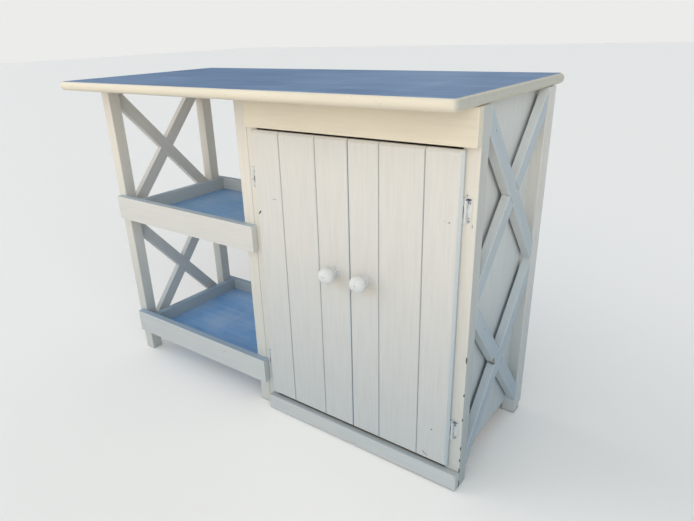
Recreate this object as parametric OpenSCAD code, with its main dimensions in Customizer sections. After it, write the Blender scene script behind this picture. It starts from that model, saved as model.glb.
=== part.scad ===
// Potting bench: an open bay with two tray shelves beside a two-door cupboard.
// X runs along the bench to its right end, Y to its back, Z up from the floor.
// The origin is on the floor, under the middle of the worktop.

/* [Worktop] */
// Height of the working surface above the floor
bench_h = 900; // [820:1:1000]
// Length of the worktop
top_l = 1219; // [1217:1:1400]
// Depth of the worktop, front to back
top_w = 570; // [540:1:640]
// Thickness of the worktop, which is also the diameter of its round edge
top_t = 24; // [20:1:30]
// Radius of the worktop's corners seen from above
top_corner = 15; // [13:1:40]

/* [Frame] */
// Length of the frame over its end posts
frame_l = 1200; // [1150:1:1210]
// Depth of the frame over its posts
frame_d = 386; // [360:1:390]
// Side of the square posts
post = 36; // [30:1:44]
// How far the worktop stands out past the left legs
left_overhang = 17; // [15:1:60]
// How far the worktop stands out in front of the posts
front_overhang = 116; // [90:1:130]
// Width of the crossed braces
brace_w = 36; // [28:1:42]
// Thickness of the crossed braces
brace_t = 20; // [16:1:24]
// Height at which the upper and lower crosses meet
cross_z = 468; // [440:1:480]

/* [Trays] */
// Height of the front boards of the trays, and of the board above the doors
board_h = 72; // [60:1:80]
// Thickness of the boards on the front and back of the frame
board_t = 20; // [16:1:24]
// Height of the lower tray's front board above the floor
low_tray_z = 81; // [60:1:120]
// Height of the upper tray's front board above the floor
high_tray_z = 481; // [440:1:520]
// Height of the side and back boards of the trays
rim_h = 49; // [40:1:60]
// Thickness of the tray floors and of the cupboard's panels
sheet_t = 9; // [6:1:12]

/* [Cupboard] */
// Width of the cupboard over its posts
cup_w = 641; // [620:1:660]
// Height of the board below the doors
plinth_h = 45; // [40:1:60]
// Recess of the right end panel behind the faces of the posts
panel_recess = 28; // [26:1:30]
// Height of the shelf inside the cupboard
shelf_z = 430; // [300:1:500]

/* [Doors] */
// Thickness of the door boards
door_t = 12; // [10:1:14]
// Lowest edge of the doors
door_z = 54; // [52:1:60]
// Height of the doors
door_h = 743; // [700:1:745]
// Widths of the left door's boards, from its hinges to its knob
left_boards = [88, 107, 88.5]; // [80:0.5:110]
// Widths of the right door's boards, from its knob to its hinges
right_boards = [78.5, 107, 81]; // [75:0.5:110]
// Depth of the bevel round each door and of the grooves between the boards
bevel = 6; // [3:1:7]
// Diameter of the round door knobs
knob_d = 40; // [32:1:45]

/* [Hinges] */
// Length of each hinge
hinge_l = 50; // [40:1:60]
// Outer diameter of the hinge knuckles
knuckle_d = 6; // [5:0.5:8]
// Diameter of the hinge pins
pin_d = 3; // [2:0.1:3.4]
// Heights of the middles of the lower and upper hinges
hinge_z = [160, 680]; // [100:1:740]

/* [Hidden] */
$fn = 48;
eps = 0.01;
pin_clearance = 0.05;
leaf_t = 1.4;
leaf_w = 13;
knuckles = 5;
knuckle_gap = 0.3;
door_gap = 0.6;
door_lap = 8;
meeting_gap = 2;

// Faces of the frame
x_left = -top_l / 2 + left_overhang;
x_right = x_left + frame_l;
y_front = -top_w / 2 + front_overhang;
y_back = y_front + frame_d;
z_top = bench_h - top_t;
x_cup = x_right - cup_w;

// Lowest point of the lower crosses
cross_bottom = 42;

// Space between the front and back posts
y_in0 = y_front + post;
y_in1 = y_back - post;
y_mid = (y_front + y_back) / 2;

// Doors, measured at their front faces
stile_w = 35;
x_stile = x_cup + post + 1;
x_doors = x_stile + stile_w - door_lap - 3;
left_door_w = left_boards[0] + left_boards[1] + left_boards[2];
right_door_w = right_boards[0] + right_boards[1] + right_boards[2];
x_meet = x_doors + left_door_w;
x_doors_end = x_meet + meeting_gap + right_door_w;
y_door = y_front - door_gap;
ledge_h = 70;
ledge_t = 16;
ledge_z = [door_z + 60, door_z + door_h - 60 - ledge_h];
knob_z = 485;
knob_inset = 43;
screw_d = 4;
pin_off = knuckle_d / 2 + leaf_t + 0.3;
x_left_knob = x_meet - knob_inset;
x_right_knob = x_meet + meeting_gap + knob_inset;

// Trays
lip_x0 = x_left + 17;
lip_x1 = x_stile + 5;
x_fascia = x_stile + 15;
rim_x = x_left + post;
bearer_w = 30;
bearer_h = 15;
bearer_y = y_front + 10;
tray_floor_x = rim_x + board_t;
tray_floor_l = x_cup - tray_floor_x;

// Cupboard inside
floor_z = plinth_h - 1;
rail_h = 24;
rail_t = 20;
back_z = 18;
back_t = 12;
x_room0 = x_cup + sheet_t;
x_room1 = x_right - panel_recess - sheet_t;
panel_z = floor_z - sheet_t;
shelf_y = y_front + 60;
cleat = 18;
catch_w = 40;
strike_t = 1.2;

// A plain length of timber from one corner, with its three sizes.
module timber(at, size) {
    translate(at) cube(size);
}

// ---------- Worktop ----------

// Section of the worktop's outer strip: a flat part, then a half round.
module edge_profile() {
    r = top_t / 2;
    square([top_corner - r, top_t]);
    translate([top_corner - r, r]) intersection() {
        circle(r);
        translate([0, -r]) square(top_t);
    }
}

// The worktop: a flat board whose edge is a full half round all the way along.
module worktop() {
    turn_x = top_l / 2 - top_corner;
    turn_y = top_w / 2 - top_corner;
    color("slategray") translate([0, 0, z_top]) {
        translate([-turn_x, -turn_y, 0]) cube([2 * turn_x, 2 * turn_y, top_t]);
        for (side = [[0, turn_x, turn_y], [90, turn_y, turn_x], [180, turn_x, turn_y], [270, turn_y, turn_x]])
            rotate([0, 0, side[0]]) translate([side[1], side[2], 0]) {
                rotate_extrude(angle = 90) edge_profile();
                rotate([90, 0, 0]) linear_extrude(2 * side[2]) edge_profile();
            }
    }
}

// Two battens under the worktop that keep it flat.
module worktop_battens() {
    length = frame_d - 2 * rail_t - 40;
    color("wheat") for (x = [(rim_x + x_cup) / 2, (x_cup + x_right) / 2])
        timber([x - 30, y_mid - length / 2, z_top - 18], [60, length, 18]);
}

// ---------- Posts and rails ----------

module post_at(x, y) {
    color("antiquewhite") timber([x, y, 0], [post, post, z_top]);
}

module left_front_leg() { post_at(x_left, y_front); }
module left_back_leg() { post_at(x_left, y_in1); }
module cupboard_left_front_post() { post_at(x_cup, y_front); }
module cupboard_left_back_post() { post_at(x_cup, y_in1); }
module right_front_post() { post_at(x_right - post, y_front); }
module right_back_post() { post_at(x_right - post, y_in1); }

// The upright beside the cupboard's left post that carries the left door.
module hinge_stile() {
    color("antiquewhite") timber([x_stile, y_front, panel_z], [stile_w, rail_t, z_top - panel_z]);
}

// A rail that runs from the front posts to the back ones, just under the worktop.
module end_rail(x, thickness) {
    color("wheat") timber([x, y_in0, z_top - rail_h], [thickness, y_in1 - y_in0, rail_h]);
}

module left_end_rail() { end_rail(x_left + brace_t, post - brace_t); }
module cupboard_end_rails() {
    end_rail(x_room0, rail_t);
    end_rail(x_room1 - rail_t, rail_t);
}

// The rail under the back of the worktop, between the open bay's back posts.
module bay_back_rail() {
    color("wheat") timber([rim_x, y_back - rail_t, z_top - 46], [x_cup - rim_x, rail_t, 46]);
}

// ---------- Crossed braces ----------

// Slope of a bar of width brace_w whose edges meet opposite corners of a run x rise panel.
function brace_angle(run, rise) =
    atan2(rise, run) - asin(brace_w / sqrt(run * run + rise * rise));

// A straight bar through the middle of the panel that lies between the posts and z0..z1.
// dir is -1 when the bar falls to the back and 1 when it rises to the back.
module brace_bar(z0, z1, dir, thickness) {
    run = y_in1 - y_in0;
    translate([0, y_mid, (z0 + z1) / 2]) rotate([dir * brace_angle(run, z1 - z0), 0, 0])
        translate([0, -run, -brace_w / 2]) cube([thickness, 2 * run, brace_w]);
}

// One brace, cut to the posts and halved where it crosses its partner. The brace whose
// dir equals over keeps its half on the right at the crossing, and the other its half on the left.
module brace(x, z0, z1, dir, over = -1) {
    half = brace_t / 2;
    color("antiquewhite") translate([x, 0, 0]) intersection() {
        difference() {
            brace_bar(z0, z1, dir, brace_t);
            translate([dir == over ? -eps : half, 0, 0]) brace_bar(z0, z1, -dir, half + eps);
        }
        translate([0, y_in0, z0]) cube([brace_t, y_in1 - y_in0, z1 - z0]);
    }
}

module left_upper_brace_down() { brace(x_left, cross_z, z_top, -1); }
module left_upper_brace_up() { brace(x_left, cross_z, z_top, 1); }
module left_lower_brace_down() { brace(x_left, cross_bottom, cross_z, -1); }
module left_lower_brace_up() { brace(x_left, cross_bottom, cross_z, 1); }
module right_upper_brace_down() { brace(x_right - brace_t, cross_z, z_top, -1); }
module right_upper_brace_up() { brace(x_right - brace_t, cross_z, z_top, 1); }
module right_lower_brace_down() { brace(x_right - brace_t, cross_bottom, cross_z, -1, 1); }
module right_lower_brace_up() { brace(x_right - brace_t, cross_bottom, cross_z, 1, 1); }

// ---------- Boards on the front of the cupboard ----------

module fascia() {
    color("antiquewhite")
        timber([x_fascia, y_front - board_t, z_top - board_h], [x_right - x_fascia, board_t, board_h]);
}

module plinth() {
    color("antiquewhite") timber([x_fascia, y_front - board_t, 1], [x_right - x_fascia, board_t, plinth_h]);
}

// ---------- Trays ----------

// The floor of a tray whose front board starts at height z.
module tray_floor(z) {
    color("steelblue") timber([tray_floor_x, y_front, z], [tray_floor_l, frame_d, sheet_t]);
}

// The tall front board, which also covers the cupboard's left post.
module tray_front(z) {
    color("antiquewhite") timber([lip_x0, y_front - board_t, z], [lip_x1 - lip_x0, board_t, board_h]);
}

module tray_back(z) {
    color("antiquewhite") timber([x_left, y_back, z], [x_cup + post / 2 - x_left, board_t, rim_h]);
}

module tray_side(z) {
    color("antiquewhite") timber([rim_x, y_front, z], [board_t, frame_d, rim_h]);
}

// Three bearers under the tray floor. The outer two are screwed to the posts.
module tray_bearers(z) {
    color("wheat") for (x = [rim_x, (rim_x + x_cup - bearer_w) / 2, x_cup - bearer_w])
        timber([x, bearer_y, z - bearer_h], [bearer_w, y_back - bearer_y, bearer_h]);
}

module upper_tray_floor() { tray_floor(high_tray_z); }
module upper_tray_front() { tray_front(high_tray_z); }
module upper_tray_back() { tray_back(high_tray_z); }
module upper_tray_side() { tray_side(high_tray_z); }
module upper_tray_bearers() { tray_bearers(high_tray_z); }
module lower_tray_floor() { tray_floor(low_tray_z); }
module lower_tray_front() { tray_front(low_tray_z); }
module lower_tray_back() { tray_back(low_tray_z); }
module lower_tray_side() { tray_side(low_tray_z); }
module lower_tray_bearers() { tray_bearers(low_tray_z); }

// ---------- Cupboard body ----------

// An upright sheet between a front and a back post.
module end_panel(x) {
    color("lightgray") timber([x, y_in0, panel_z], [sheet_t, y_in1 - y_in0, z_top - panel_z]);
}

module cupboard_left_panel() { end_panel(x_cup); }
module cupboard_right_panel() { end_panel(x_room1); }

module cupboard_back() {
    x0 = x_cup + post / 2;
    color("lightgray") timber([x0, y_back, back_z], [x_right - x0, back_t, z_top - back_z]);
}

// A level sheet inside the cupboard, notched round the four posts.
module cupboard_sheet(z, y0, thickness) {
    color("lightgray") difference() {
        timber([x_room0, y0, z], [x_room1 - x_room0, y_back - y0, thickness]);
        for (x = [x_cup, x_right - post], y = [y_front, y_in1])
            timber([x - eps, y - eps, z - eps], [post + 2 * eps, post + 2 * eps, thickness + 2 * eps]);
    }
}

module cupboard_floor() { cupboard_sheet(floor_z - sheet_t, y_front + rail_t, sheet_t); }
module cupboard_shelf() { cupboard_sheet(shelf_z, shelf_y, 15); }

// Two bearers under the cupboard floor, one behind the plinth and one at the back.
module cupboard_floor_bearers() {
    x0 = x_cup + post;
    length = x_right - post - x0;
    color("wheat") {
        timber([x0, y_front, 10], [length, rail_t, floor_z - sheet_t - 10]);
        timber([x0, y_back - rail_t, 10], [length, rail_t, floor_z - sheet_t - 10]);
    }
}

// Cleats on the end panels that carry the shelf.
module cupboard_shelf_cleats() {
    color("wheat") for (x = [x_room0, x_room1 - cleat])
        timber([x, shelf_y + 10, shelf_z - cleat], [cleat, y_in1 - shelf_y - 10, cleat]);
}

// ---------- Doors ----------

// One upright door board from x0. lo and hi are the bevels on its two long edges:
// a deep one at the edge of the door and a shallow one beside a groove.
module door_board(x0, width, lo, hi) {
    groove = 2.2;
    a = lo ? bevel : groove;
    b = hi ? bevel : groove;
    color("antiquewhite") difference() {
        translate([0, 0, door_z]) linear_extrude(door_h) polygon([
            [x0, y_door], [x0 + width, y_door],
            [x0 + width, y_door - door_t + b], [x0 + width - b, y_door - door_t],
            [x0 + a, y_door - door_t], [x0, y_door - door_t + a]
        ]);
        for (z = [door_z, door_z + door_h])
            translate([x0 - 1, y_door - door_t, z]) rotate([45, 0, 0])
                translate([0, -bevel / sqrt(2), -bevel / sqrt(2)]) cube([width + 2, bevel * sqrt(2), bevel * sqrt(2)]);
    }
}

// The hole through a door board for the knob's screw.
module knob_hole(x) {
    translate([x, y_door + 1, knob_z]) rotate([90, 0, 0]) cylinder(d = screw_d, h = door_t + 2);
}

module left_door_outer_board() { door_board(x_doors, left_boards[0], true, false); }
module left_door_middle_board() { door_board(x_doors + left_boards[0], left_boards[1], false, false); }
module left_door_inner_board() {
    difference() {
        door_board(x_meet - left_boards[2], left_boards[2], false, false);
        knob_hole(x_left_knob);
    }
}
module right_door_inner_board() {
    difference() {
        door_board(x_meet + meeting_gap, right_boards[0], false, false);
        knob_hole(x_right_knob);
    }
}
module right_door_middle_board() { door_board(x_meet + meeting_gap + right_boards[0], right_boards[1], false, false); }
module right_door_outer_board() { door_board(x_doors_end - right_boards[2], right_boards[2], false, true); }

// The two ledges across the back of a door.
module door_ledges(x0, x1) {
    color("wheat") for (z = ledge_z) timber([x0, y_door, z], [x1 - x0, ledge_t, ledge_h]);
}

module left_door_ledges() { door_ledges(x_stile + stile_w + 6, x_meet - 10); }
module right_door_ledges() { door_ledges(x_meet + meeting_gap + 10, x_right - post - 6); }

// A turned knob: a foot, a bead, a waist and a ball, standing out from the door.
module knob(x) {
    r = knob_d / 2;
    ball_y = 30;
    color("antiquewhite") translate([x, y_door - door_t, knob_z]) rotate([90, 0, 0]) difference() {
        union() {
            cylinder(r = 14, h = 4);
            translate([0, 0, 4]) cylinder(r = 10.5, h = 4);
            rotate_extrude() translate([9, 9]) circle(3.2);
            cylinder(r = 9.2, h = ball_y);
            translate([0, 0, ball_y]) sphere(r = r);
        }
        translate([0, 0, -1]) cylinder(d = screw_d, h = 21);
    }
}

module left_knob() { knob(x_left_knob); }
module right_knob() { knob(x_right_knob); }

// The screw that holds a knob from behind: a round head and a plain shank.
module knob_screw(x) {
    color("silver") translate([x, y_door, knob_z]) rotate([90, 0, 0]) {
        translate([0, 0, -2.4]) cylinder(d = 9, h = 2.4);
        cylinder(d = screw_d, h = door_t + 20);
    }
}

module left_knob_screw() { knob_screw(x_left_knob); }
module right_knob_screw() { knob_screw(x_right_knob); }

// ---------- Hinges ----------

x_left_pin = x_doors - pin_off;
x_right_pin = x_doors_end + pin_off;
y_pin = y_front - knuckle_d / 2;
knuckle_l = hinge_l / knuckles;

// The leaf screwed to the front of the frame, with the odd knuckles. dir points away from the door.
module frame_leaf(x, dir, z) {
    difference() {
        union() {
            translate([x + (dir > 0 ? 0 : -leaf_w), y_front - leaf_t, z - hinge_l / 2]) cube([leaf_w, leaf_t, hinge_l]);
            translate([x, y_pin, z - hinge_l / 2]) cylinder(d = knuckle_d, h = hinge_l);
        }
        knuckle_cuts(x, z, [1, 3]);
        translate([x, y_pin, z - hinge_l / 2 - 1]) cylinder(d = pin_d + 2 * pin_clearance, h = hinge_l + 2);
        for (h = [-16, 16]) translate([x + dir * 8.5, y_front + 1, z + h]) rotate([90, 0, 0]) cylinder(d = 3.4, h = 4);
    }
}

// The leaf screwed to the edge of the door, with the even knuckles.
module door_leaf(x, dir, z) {
    x_edge = x - dir * pin_off;
    difference() {
        union() {
            for (k = [1, 3]) translate([min(x_edge, x), y_pin - 1, z - hinge_l / 2 + k * knuckle_l + knuckle_gap])
                cube([pin_off, 2, knuckle_l - 2 * knuckle_gap]);
            translate([dir > 0 ? x_edge : x_edge - leaf_t, y_pin - 3.4, z - hinge_l / 2])
                cube([leaf_t, 5.6, hinge_l]);
            for (k = [1, 3]) translate([x, y_pin, z - hinge_l / 2 + k * knuckle_l + knuckle_gap])
                cylinder(d = knuckle_d, h = knuckle_l - 2 * knuckle_gap);
        }
        translate([x, y_pin, z - hinge_l / 2 - 1]) cylinder(d = pin_d + 2 * pin_clearance, h = hinge_l + 2);
    }
}

// Gaps in a run of knuckles, wide enough for the other leaf's knuckles.
module knuckle_cuts(x, z, which) {
    for (k = which) translate([x - knuckle_d, y_pin - knuckle_d, z - hinge_l / 2 + k * knuckle_l - eps])
        cube([2 * knuckle_d, 2 * knuckle_d, knuckle_l + 2 * eps]);
}

module hinge_pin(x, z) {
    translate([x, y_pin, z - hinge_l / 2 - 0.5]) cylinder(d = pin_d, h = hinge_l + 0.5);
    translate([x, y_pin, z + hinge_l / 2]) cylinder(d = knuckle_d, h = 1.2);
}

module left_hinge_frame_leaves() { color("gainsboro") for (z = hinge_z) frame_leaf(x_left_pin, -1, z); }
module left_hinge_door_leaves() { color("gainsboro") for (z = hinge_z) door_leaf(x_left_pin, -1, z); }
module left_hinge_pins() { color("silver") for (z = hinge_z) hinge_pin(x_left_pin, z); }
module right_hinge_frame_leaves() { color("gainsboro") for (z = hinge_z) frame_leaf(x_right_pin, 1, z); }
module right_hinge_door_leaves() { color("gainsboro") for (z = hinge_z) door_leaf(x_right_pin, 1, z); }
module right_hinge_pins() { color("silver") for (z = hinge_z) hinge_pin(x_right_pin, z); }

// Catches under the shelf's front edge that hold each door shut.
x_catches = [x_meet - catch_w - 20, x_meet + meeting_gap + 20];
catch_y = y_door + strike_t + 0.5;

module door_catches() {
    color("white") for (x = x_catches)
        timber([x, catch_y, shelf_z - 14], [catch_w, shelf_y + 16 - catch_y, 14]);
}

// The plate on the back of a door that its catch holds.
module door_strike(x) {
    color("silver") timber([x + 5, y_door, shelf_z - 13], [catch_w - 10, strike_t, 12]);
}

module left_door_strike() { door_strike(x_catches[0]); }
module right_door_strike() { door_strike(x_catches[1]); }

worktop();
worktop_battens();
left_front_leg();
left_back_leg();
cupboard_left_front_post();
cupboard_left_back_post();
right_front_post();
right_back_post();
hinge_stile();
left_upper_brace_down();
left_upper_brace_up();
left_lower_brace_down();
left_lower_brace_up();
right_upper_brace_down();
right_upper_brace_up();
right_lower_brace_down();
right_lower_brace_up();
left_end_rail();
bay_back_rail();
cupboard_end_rails();
fascia();
plinth();
upper_tray_floor();
upper_tray_front();
upper_tray_back();
upper_tray_side();
upper_tray_bearers();
lower_tray_floor();
lower_tray_front();
lower_tray_back();
lower_tray_side();
lower_tray_bearers();
cupboard_floor();
cupboard_floor_bearers();
cupboard_shelf();
cupboard_shelf_cleats();
cupboard_left_panel();
cupboard_right_panel();
cupboard_back();
left_door_outer_board();
left_door_middle_board();
left_door_inner_board();
left_door_ledges();
right_door_inner_board();
right_door_middle_board();
right_door_outer_board();
right_door_ledges();
left_knob();
right_knob();
left_knob_screw();
right_knob_screw();
left_hinge_frame_leaves();
left_hinge_door_leaves();
left_hinge_pins();
right_hinge_frame_leaves();
right_hinge_door_leaves();
right_hinge_pins();
door_catches();
left_door_strike();
right_door_strike();
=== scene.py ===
"""Potting bench: painted softwood frame, tray shelves and a boarded cupboard."""

from __future__ import annotations

import logging
import math
from dataclasses import dataclass, field
from enum import Enum
from typing import Any

import bpy
from mathutils import Matrix, Vector

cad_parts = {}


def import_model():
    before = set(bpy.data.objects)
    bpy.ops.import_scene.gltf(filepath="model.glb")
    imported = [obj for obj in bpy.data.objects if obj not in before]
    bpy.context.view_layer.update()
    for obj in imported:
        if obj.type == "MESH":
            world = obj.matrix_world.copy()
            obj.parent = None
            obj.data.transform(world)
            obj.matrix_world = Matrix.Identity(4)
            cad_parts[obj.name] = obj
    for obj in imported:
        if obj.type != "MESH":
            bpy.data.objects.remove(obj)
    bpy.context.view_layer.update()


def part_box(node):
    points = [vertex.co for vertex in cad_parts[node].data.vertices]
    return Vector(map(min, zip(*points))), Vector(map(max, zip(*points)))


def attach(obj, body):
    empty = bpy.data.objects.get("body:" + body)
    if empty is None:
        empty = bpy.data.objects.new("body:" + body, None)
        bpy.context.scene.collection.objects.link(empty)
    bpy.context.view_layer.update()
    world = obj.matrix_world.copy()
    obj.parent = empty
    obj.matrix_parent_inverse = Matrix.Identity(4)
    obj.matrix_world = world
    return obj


log = logging.getLogger("potting_bench")

Point = tuple[float, float, float]
Tint = tuple[float, float, float]


# ---------------------------------------------------------------- shader maths


class Flow:
    """A socket's value, with Python's operators standing for Math nodes."""

    def __init__(self, graph: Graph, socket: Any) -> None:
        """Wraps one output socket of a graph."""
        self.graph = graph
        self.socket = socket

    def _math(self, operation: str, *values: Any) -> Flow:
        """Adds one Math node.

        Args:
            operation: The Math node's operation.
            values: Numbers or Flows for its sockets, in order.

        Returns:
            The node's result.
        """
        return self.graph.node("ShaderNodeMath", {"operation": operation}, dict(enumerate(values)))

    def __add__(self, other: Any) -> Flow:
        """self + other."""
        return self._math("ADD", self, other)

    __radd__ = __add__

    def __sub__(self, other: Any) -> Flow:
        """self - other."""
        return self._math("SUBTRACT", self, other)

    def __rsub__(self, other: Any) -> Flow:
        """other - self."""
        return self._math("SUBTRACT", other, self)

    def __mul__(self, other: Any) -> Flow:
        """self * other."""
        return self._math("MULTIPLY", self, other)

    __rmul__ = __mul__

    def __abs__(self) -> Flow:
        """Size without sign."""
        return self._math("ABSOLUTE", self)

    def most(self, other: Any) -> Flow:
        """The larger of self and other."""
        return self._math("MAXIMUM", self, other)

    def root(self) -> Flow:
        """Square root."""
        return self._math("SQRT", self)

    def step(self, low: float, high: float) -> Flow:
        """A smooth step.

        Args:
            low: Where the result starts to rise from 0.
            high: Where it reaches 1.

        Returns:
            The stepped value, 0 to 1.
        """
        settings = {"interpolation_type": "SMOOTHSTEP"}
        return self.graph.node("ShaderNodeMapRange", settings, {0: self, 1: low, 2: high, 3: 0.0, 4: 1.0})


class Graph:
    """Adds nodes to one node tree and joins them."""

    def __init__(self, tree: bpy.types.NodeTree) -> None:
        """Takes over an existing tree."""
        self.tree = tree

    def node(self, kind: str, settings: dict[str, Any] | None = None,
             sockets: dict[Any, Any] | None = None, output: Any = 0) -> Flow:
        """Adds one node.

        Args:
            kind: The node's type.
            settings: Attributes of the node, which are set first.
            sockets: Input name or number to a number, a vector or a Flow.
            output: Name or number of the output that is wanted.

        Returns:
            The wanted output.
        """
        made = self.tree.nodes.new(kind)
        for name, value in (settings or {}).items():
            setattr(made, name, value)
        for key, value in (sockets or {}).items():
            if isinstance(value, Flow):
                self.tree.links.new(value.socket, made.inputs[key])
            else:
                made.inputs[key].default_value = value
        return Flow(self, made.outputs[output])

    def place(self) -> Flow:
        """Position on the piece, in metres."""
        return self.node("ShaderNodeTexCoord", output="Object")

    def facing(self) -> Flow:
        """Direction that the surface faces, in the piece's own axes."""
        return self.node("ShaderNodeTexCoord", output="Normal")

    def part(self, vector: Flow, axis: str) -> Flow:
        """One component of a vector, by its letter."""
        return self.node("ShaderNodeSeparateXYZ", None, {0: vector}, axis)

    def noise(self, where: Flow, scale: float, detail: float = 2.0, roughness: float = 0.5) -> Flow:
        """Smooth noise from 0 to 1.

        Args:
            where: The coordinates it reads.
            scale: How many bumps there are to a unit.
            detail: Octaves of finer noise.
            roughness: Strength of the finer octaves.

        Returns:
            The noise's value.
        """
        sockets = {"Vector": where, "Scale": scale, "Detail": detail, "Roughness": roughness}
        return self.node("ShaderNodeTexNoise", None, sockets)

    def blend(self, share: Any, low: Any, high: Any, way: str = "MIX") -> Flow:
        """Mixes two colours.

        Args:
            share: 0 for the first colour, 1 for the second.
            low: First colour, as three numbers or a Flow.
            high: Second colour.
            way: MIX, or MULTIPLY to tint the first colour with the second.

        Returns:
            The mixed colour.
        """
        settings = {"data_type": "RGBA", "clamp_factor": True, "blend_type": way}
        colours = [c if isinstance(c, Flow) else (*c, 1.0) for c in (low, high)]
        return self.node("ShaderNodeMix", settings, {0: share, 6: colours[0], 7: colours[1]}, 2)


# ---------------------------------------------------------------- finishes


class Grain(Enum):
    """Direction of a piece's grain, as the turn in degrees about X and the stretch of the noise."""

    ALONG = (0.0, (5.0, 90.0, 90.0))
    BACK = (0.0, (90.0, 5.0, 90.0))
    UPRIGHT = (0.0, (90.0, 90.0, 5.0))
    RISING = (-48.4, (90.0, 5.0, 90.0))
    FALLING = (48.4, (90.0, 5.0, 90.0))


class Wear(Enum):
    """What shows where the paint is marked."""

    WOOD = (0.095, 0.075, 0.060)
    DIRT = (0.055, 0.048, 0.042)
    SCUFF = (0.20, 0.16, 0.12)
    RUST = (0.26, 0.15, 0.08)
    # Painted shadow of the knob, partly a hand stain
    KNOB_SHADOW_AND_HANDS = (0.50, 0.41, 0.30)
    FILLER = (0.50, 0.52, 0.52)
    STEEL = (0.055, 0.065, 0.095)


@dataclass(frozen=True)
class Mark:
    """One chip, scratch, stain or painted shadow at one place on the object, with its reach along its own axes."""

    at: Point
    reach: Point
    wear: Wear = Wear.WOOD
    turn: Point = (0.0, 0.0, 0.0)
    strength: float = 1.0
    solid: float = 0.72

    def mask(self, graph: Graph, where: Flow, ragged: Flow) -> Flow:
        """How much of the mark there is at each place.

        Args:
            graph: The graph that gets the nodes.
            where: Position on the piece.
            ragged: Noise that makes the mark's rim uneven.

        Returns:
            0 outside the mark, its strength inside.
        """
        turn = tuple(math.radians(a) for a in self.turn)
        inside = graph.node("ShaderNodeMapping", {"vector_type": "TEXTURE"},
                            {0: where, 1: self.at, 2: turn, 3: self.reach})
        away = graph.node("ShaderNodeVectorMath", {"operation": "LENGTH"}, {0: inside}, 1)
        return (1.0 - (away + (ragged - 0.5) * 1.1).step(self.solid, 1.0)) * self.strength


@dataclass(frozen=True)
class FacingLightTint:
    """A tint on the faces that look one way: painted light and shade that falls on that side."""

    faces: Point
    tint: Tint

    def over(self, graph: Graph, colour: Flow) -> Flow:
        """Paints light and shade into a colour.

        Args:
            graph: The graph that gets the nodes.
            colour: The colour to stain.

        Returns:
            The colour, with painted light and shade on the faces that look the tint's way.
        """
        toward = graph.node("ShaderNodeVectorMath", {"operation": "DOT_PRODUCT"},
                            {0: graph.facing(), 1: self.faces}, 1)
        return graph.blend(toward.step(0.45, 0.85), colour, self.tint, "MULTIPLY")


# Painted shade: faces that look along +X, at the bench's right end, are greyed and cooled to stand for the cooler
# light on that side
RIGHT_FACES_PAINTED_SHADE = FacingLightTint((1.0, 0.0, 0.0), (0.76, 0.83, 0.89))
# Painted light: the tray boards' upward faces are greyed and blued, partly standing for cool light from above,
# partly slate paint carried over the top edges
UP_FACES_PAINTED_SKY_LIGHT = FacingLightTint((0.0, 0.0, 1.0), (0.66, 0.80, 0.96))
# Painted light: the tray boards' inside faces are blued, standing for blue light bounced off the slate floors,
# partly a thin wash of slate
INSIDE_PAINTED_BOUNCE_LIGHT = (0.88, 0.95, 1.0)


class Finish:
    """Base of every finish: makes a material once and keeps it."""

    name: str
    # Multiplied in towards the floor: painted shade, with some soiling
    shade_and_soil_tint: Tint = (0.62, 0.70, 0.78)

    def material(self) -> bpy.types.Material:
        """The Blender material, made at the first call."""
        found = bpy.data.materials.get(self.name)
        if found is None:
            found = bpy.data.materials.new(self.name)
            found.use_nodes = True
            found.node_tree.nodes.clear()
            graph = Graph(found.node_tree)
            shader = graph.node("ShaderNodeBsdfPrincipled", None, self.look(graph))
            out = graph.tree.nodes.new("ShaderNodeOutputMaterial")
            graph.tree.links.new(shader.socket, out.inputs["Surface"])
        return found

    def shade_and_soil_towards_floor(self, graph: Graph, where: Flow, colour: Flow) -> Flow:
        """Greys and blues a paint's colour more and more towards the floor: painted shade where the light falls off,
        with some soiling.
        """
        drift = graph.noise(where, 4.0, 3.0)
        rise = (graph.part(where, "Z") + (drift - 0.5) * 0.2).step(0.02, 0.80)
        return graph.blend(1.0 - rise, colour, self.shade_and_soil_tint, "MULTIPLY")

    def look(self, graph: Graph) -> dict[str, Any]:
        """Inputs of the Principled shader."""
        raise NotImplementedError


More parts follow.
